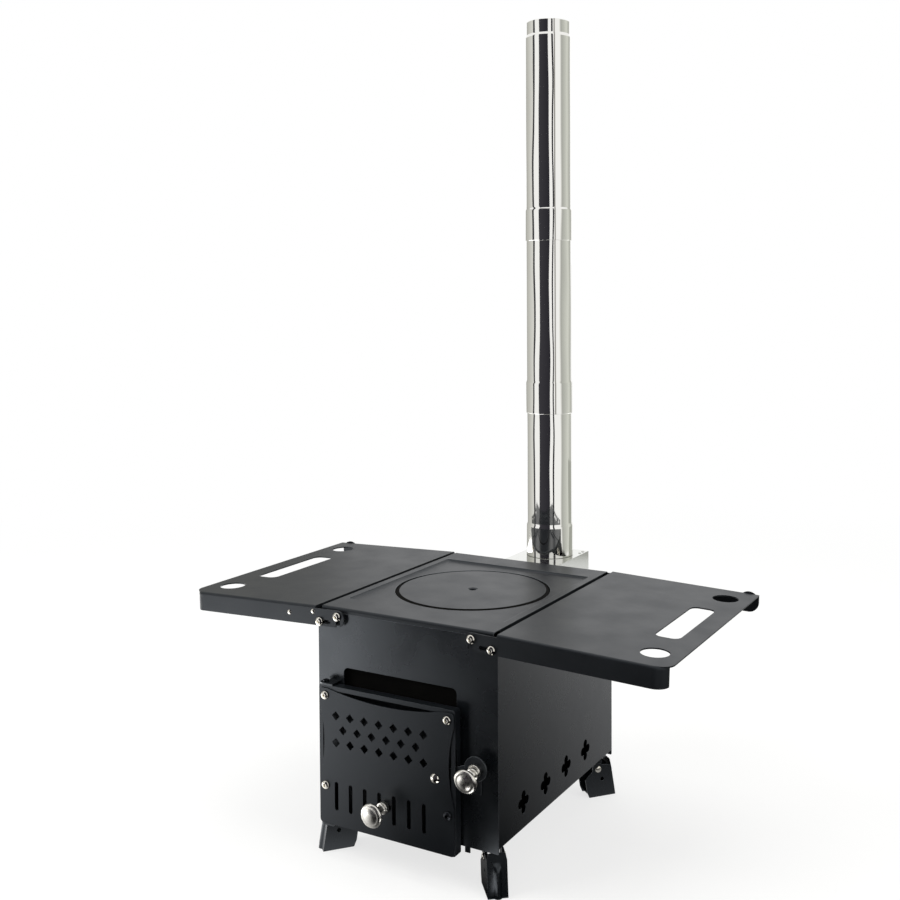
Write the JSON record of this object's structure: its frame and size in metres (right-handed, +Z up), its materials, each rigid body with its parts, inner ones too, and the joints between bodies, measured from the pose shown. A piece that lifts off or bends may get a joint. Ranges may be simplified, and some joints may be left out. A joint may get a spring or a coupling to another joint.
{
  "type": "tent wood stove",
  "caption": "Black steel tent stove with folding legs and side shelves, vented box door, round cooking lid, rear smoke box and three-piece stainless chimney.",
  "frame": {"origin": "on the ground, midway between the stove's left and right ends and midway between its front and back ends", "axes": "+X to the right seen from the front, +Y from the door towards the chimney, +Z up"},
  "size_m": [0.603, 0.45, 0.9843],
  "materials": {
    "black_paint": "satin heat-resistant paint",
    "top_paint": "satin heat-resistant paint, greyed by heat",
    "inner_paint": "matt heat-resistant paint",
    "mirror_stainless": "mirror-polished stainless steel",
    "brushed_stainless": "bright rolled stainless steel",
    "nickel": "nickel-plated",
    "dark_steel": "blackened steel"
  },
  "bodies": {
    "stove_body": {"body_shell": "black_paint", "front_panel": "black_paint", "back_panel": "black_paint", "air_wash_frame": "inner_paint", "cooking_top": "top_paint", "lid_seat_ring": "inner_paint", "fire_grate": "inner_paint", "liner_left": "inner_paint", "liner_right": "inner_paint", "hinge_bracket_upper": "black_paint", "hinge_bracket_lower": "black_paint", "door_hinge_pin": "dark_steel", "latch_keeper": "dark_steel", "shelf_pivot_screws": "nickel", "shelf_guide_screws": "nickel", "leg_brackets": "black_paint", "leg_rivets": "nickel", "smoke_box": "brushed_stainless", "smoke_box_rivets": "brushed_stainless", "flue_collar": "brushed_stainless"},
    "lid": {"round_lid": "top_paint"},
    "door": {"door_pan": "black_paint", "door_front_plate": "black_paint", "door_screws": "nickel", "air_slider_rails": "inner_paint", "latch_rivet": "nickel"},
    "air_control": {"air_slider": "inner_paint", "air_knob": "nickel"},
    "latch": {"latch_bar": "black_paint", "latch_plate": "dark_steel", "latch_knob": "nickel"},
    "left_shelf": {"shelf_left": "top_paint"},
    "right_shelf": {"shelf_right": "top_paint"},
    "leg_fl": {"leg_front_left": "black_paint"},
    "leg_fr": {"leg_front_right": "black_paint"},
    "leg_bl": {"leg_back_left": "black_paint"},
    "leg_br": {"leg_back_right": "black_paint"},
    "pipe_low": {"chimney_lower": "mirror_stainless"},
    "pipe_mid": {"chimney_middle": "mirror_stainless"},
    "pipe_up": {"chimney_upper": "mirror_stainless"}
  },
  "joints": [
    {"name": "door_hinge", "type": "hinge", "parent": "stove_body", "child": "door", "pos_m": [-0.0985, -0.182, 0.1165], "axis": [0, 0, -1], "range_deg": [0, 110]},
    {"name": "latch_turn", "type": "hinge", "parent": "door", "child": "latch", "pos_m": [0.047, -0.184, 0.118], "axis": [0, -1, 0], "range_deg": [-5, 18]},
    {"name": "air_slide", "type": "slide", "parent": "door", "child": "air_control", "axis": [1, 0, 0], "range_m": [0, 0.006]},
    {"name": "right_shelf_fold", "type": "hinge", "parent": "stove_body", "child": "right_shelf", "pos_m": [0.11, -0.024, 0.261], "axis": [0, 1, 0], "range_deg": [0, 84]},
    {"name": "left_shelf_fold", "type": "hinge", "parent": "stove_body", "child": "left_shelf", "pos_m": [-0.11, -0.024, 0.261], "axis": [0, -1, 0], "range_deg": [0, 84]},
    {"name": "lid_lift", "type": "slide", "parent": "stove_body", "child": "lid", "axis": [0, 0, 1], "range_m": [0, 0.06]},
    {"name": "leg_fl_fold", "type": "hinge", "parent": "stove_body", "child": "leg_fl", "pos_m": [-0.099, -0.155, 0.0345], "axis": [0.766, -0.6428, 0], "range_deg": [0, 80]},
    {"name": "leg_fr_fold", "type": "hinge", "parent": "stove_body", "child": "leg_fr", "pos_m": [0.099, -0.155, 0.0345], "axis": [0.766, 0.6428, 0], "range_deg": [0, 80]},
    {"name": "leg_bl_fold", "type": "hinge", "parent": "stove_body", "child": "leg_bl", "pos_m": [-0.099, 0.107, 0.0345], "axis": [-0.766, -0.6428, 0], "range_deg": [0, 80]},
    {"name": "leg_br_fold", "type": "hinge", "parent": "stove_body", "child": "leg_br", "pos_m": [0.099, 0.107, 0.0345], "axis": [-0.766, 0.6428, 0], "range_deg": [0, 80]},
    {"name": "chimney_lift", "type": "slide", "parent": "stove_body", "child": "pipe_low", "axis": [0, 0, 1], "range_m": [0, 0.06]},
    {"name": "middle_pipe_lift", "type": "slide", "parent": "pipe_low", "child": "pipe_mid", "axis": [0, 0, 1], "range_m": [0, 0.08]},
    {"name": "upper_pipe_lift", "type": "slide", "parent": "pipe_mid", "child": "pipe_up", "axis": [0, 0, 1], "range_m": [0, 0.08]}
  ]
}
